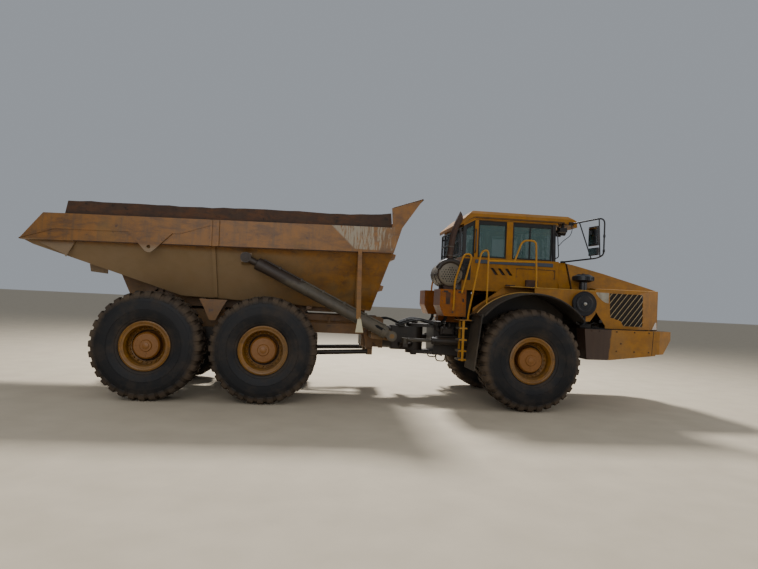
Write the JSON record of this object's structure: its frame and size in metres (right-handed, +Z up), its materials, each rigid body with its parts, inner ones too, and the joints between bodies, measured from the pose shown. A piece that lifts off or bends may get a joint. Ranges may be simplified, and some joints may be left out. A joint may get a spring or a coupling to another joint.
{
  "type": "articulated dump truck",
  "caption": "Three-axle articulated dump truck with a tipping load body, hoist and steering cylinders, a cab with an opening door, a tilting hood and turning wheels.",
  "frame": {"origin": "on the ground, below the middle of the whole length and width", "axes": "+X forward, towards the hood's nose; +Y to the driver's left; +Z up"},
  "size_m": [11.05, 3.208, 3.53],
  "materials": {
    "cab_yellow": "weathered paint",
    "frame_yellow": "dusty paint",
    "rail_yellow": "worn paint",
    "rim_yellow": "dusty paint",
    "body_steel": "dust over worn paint",
    "rusty_steel": "rusty",
    "running_gear": "oily and dusty",
    "cylinder_steel": "dusty",
    "black_trim": "satin black",
    "window": "tinted",
    "seat_and_dash": "matte",
    "lamp_lens": "clear lens",
    "flap_rubber": "dusty",
    "tyre": "dusty"
  },
  "bodies": {
    "front_unit": {"front_frame": "running_gear", "front_axle_tube": "running_gear", "powertrain": "running_gear", "cab_body": "cab_yellow", "cab_posts": "black_trim", "cab_roof": "cab_yellow", "cab_glass": "window", "cab_interior": "seat_and_dash", "seat": "seat_and_dash", "bumper": "cab_yellow", "fenders": "cab_yellow", "mud_flaps": "flap_rubber", "side_boxes": "cab_yellow", "exhaust": "black_trim", "air_cleaner": "black_trim", "access_rails": "rail_yellow", "mirrors": "black_trim"},
    "hood": {"hood": "cab_yellow", "headlamps": "lamp_lens"},
    "cab_door": {"cab_door": "cab_yellow", "door_glass": "window"},
    "hitch": {"hitch": "running_gear"},
    "rear_unit": {"rear_frame": "frame_yellow", "rear_axles": "running_gear", "bogie_beams": "running_gear"},
    "dump_body": {"dump_body": "body_steel", "body_sills": "frame_yellow", "body_rails": "frame_yellow", "sideboards": "rusty_steel"},
    "steer_barrel_left": {"steer_barrel_left": "running_gear"},
    "steer_rod_left": {"steer_rod_left": "cylinder_steel"},
    "steer_barrel_right": {"steer_barrel_right": "running_gear"},
    "steer_rod_right": {"steer_rod_right": "cylinder_steel"},
    "hoist_barrel_left": {"hoist_barrel_left": "cylinder_steel"},
    "hoist_rod_left": {"hoist_rod_left": "cylinder_steel"},
    "hoist_barrel_right": {"hoist_barrel_right": "cylinder_steel"},
    "hoist_rod_right": {"hoist_rod_right": "cylinder_steel"},
    "wheel_front_left": {"tyre_front_left": "tyre", "rim_front_left": "rim_yellow"},
    "wheel_front_right": {"tyre_front_right": "tyre", "rim_front_right": "rim_yellow"},
    "wheel_middle_left": {"tyre_middle_left": "tyre", "rim_middle_left": "rim_yellow"},
    "wheel_middle_right": {"tyre_middle_right": "tyre", "rim_middle_right": "rim_yellow"},
    "wheel_rear_left": {"tyre_rear_left": "tyre", "rim_rear_left": "rim_yellow"},
    "wheel_rear_right": {"tyre_rear_right": "tyre", "rim_rear_right": "rim_yellow"}
  },
  "joints": [
    {"name": "steer", "type": "hinge", "parent": "front_unit", "child": "hitch", "pos_m": [0.985, 0, 1.08], "axis": [0, 0, 1], "range_deg": [-45, 45]},
    {"name": "hitch_roll", "type": "hinge", "parent": "hitch", "child": "rear_unit", "pos_m": [0.325, 0, 1.08], "axis": [1, 0, 0], "range_deg": [-25, 25]},
    {"name": "body_tip", "type": "hinge", "parent": "rear_unit", "child": "dump_body", "pos_m": [-3.975, 0, 1.66], "axis": [0, -1, 0], "range_deg": [0, 70]},
    {"name": "hood_open", "type": "hinge", "parent": "front_unit", "child": "hood", "pos_m": [5.467, 0, 1.463], "axis": [0, 1, 0], "range_deg": [0, 80]},
    {"name": "cab_door_open", "type": "hinge", "parent": "front_unit", "child": "cab_door", "pos_m": [2.584, 0.814, 2.6], "axis": [0, 0, 1], "range_deg": [0, 110]},
    {"name": "steer_barrel_left_swing", "type": "hinge", "parent": "front_unit", "child": "steer_barrel_left", "pos_m": [2.145, 0.6, 1.071], "axis": [0, 0, 1], "range_deg": [-6, 6]},
    {"name": "steer_rod_left_slide", "type": "slide", "parent": "steer_barrel_left", "child": "steer_rod_left", "axis": [-0.9984, -0.0566, 0], "range_m": [-0.4, 0.4]},
    {"name": "steer_barrel_right_swing", "type": "hinge", "parent": "front_unit", "child": "steer_barrel_right", "pos_m": [2.145, -0.6, 1.071], "axis": [0, 0, 1], "range_deg": [-6, 6]},
    {"name": "steer_rod_right_slide", "type": "slide", "parent": "steer_barrel_right", "child": "steer_rod_right", "axis": [-0.9984, 0.0566, 0], "range_m": [-0.4, 0.4]},
    {"name": "hoist_barrel_left_swing", "type": "hinge", "parent": "rear_unit", "child": "hoist_barrel_left", "pos_m": [0.375, 1.345, 1.17], "axis": [0, 1, 0], "range_deg": [0, 4.4]},
    {"name": "hoist_rod_left_slide", "type": "slide", "parent": "hoist_barrel_left", "child": "hoist_rod_left", "axis": [-0.9009, 0, 0.4339], "range_m": [0, 2.31]},
    {"name": "hoist_barrel_right_swing", "type": "hinge", "parent": "rear_unit", "child": "hoist_barrel_right", "pos_m": [0.375, -1.345, 1.17], "axis": [0, 1, 0], "range_deg": [0, 4.4]},
    {"name": "hoist_rod_right_slide", "type": "slide", "parent": "hoist_barrel_right", "child": "hoist_rod_right", "axis": [-0.9009, 0, 0.4339], "range_m": [0, 2.31]},
    {"name": "wheel_front_left_spin", "type": "hinge", "parent": "front_unit", "child": "wheel_front_left", "pos_m": [2.745, 1.267, 0.865], "axis": [0, 1, 0], "continuous": true},
    {"name": "wheel_front_right_spin", "type": "hinge", "parent": "front_unit", "child": "wheel_front_right", "pos_m": [2.745, -1.267, 0.865], "axis": [0, 1, 0], "continuous": true},
    {"name": "wheel_middle_left_spin", "type": "hinge", "parent": "rear_unit", "child": "wheel_middle_left", "pos_m": [-1.706, 1.267, 0.865], "axis": [0, 1, 0], "continuous": true},
    {"name": "wheel_middle_right_spin", "type": "hinge", "parent": "rear_unit", "child": "wheel_middle_right", "pos_m": [-1.706, -1.267, 0.865], "axis": [0, 1, 0], "continuous": true},
    {"name": "wheel_rear_left_spin", "type": "hinge", "parent": "rear_unit", "child": "wheel_rear_left", "pos_m": [-3.526, 1.267, 0.865], "axis": [0, 1, 0], "continuous": true},
    {"name": "wheel_rear_right_spin", "type": "hinge", "parent": "rear_unit", "child": "wheel_rear_right", "pos_m": [-3.526, -1.267, 0.865], "axis": [0, 1, 0], "continuous": true}
  ],
  "couplings": [
    {"joint": "steer_barrel_left_swing", "follows": "steer", "ratio": 0.1136},
    {"joint": "steer_rod_left_slide", "follows": "steer", "m_per_rad": 0.498},
    {"joint": "steer_barrel_right_swing", "follows": "steer", "ratio": 0.1136},
    {"joint": "steer_rod_right_slide", "follows": "steer", "m_per_rad": -0.498},
    {"joint": "hoist_barrel_left_swing", "follows": "body_tip", "ratio": 0.0613},
    {"joint": "hoist_rod_left_slide", "follows": "body_tip", "m_per_rad": 1.8845},
    {"joint": "hoist_barrel_right_swing", "follows": "body_tip", "ratio": 0.0613},
    {"joint": "hoist_rod_right_slide", "follows": "body_tip", "m_per_rad": 1.8845}
  ]
}
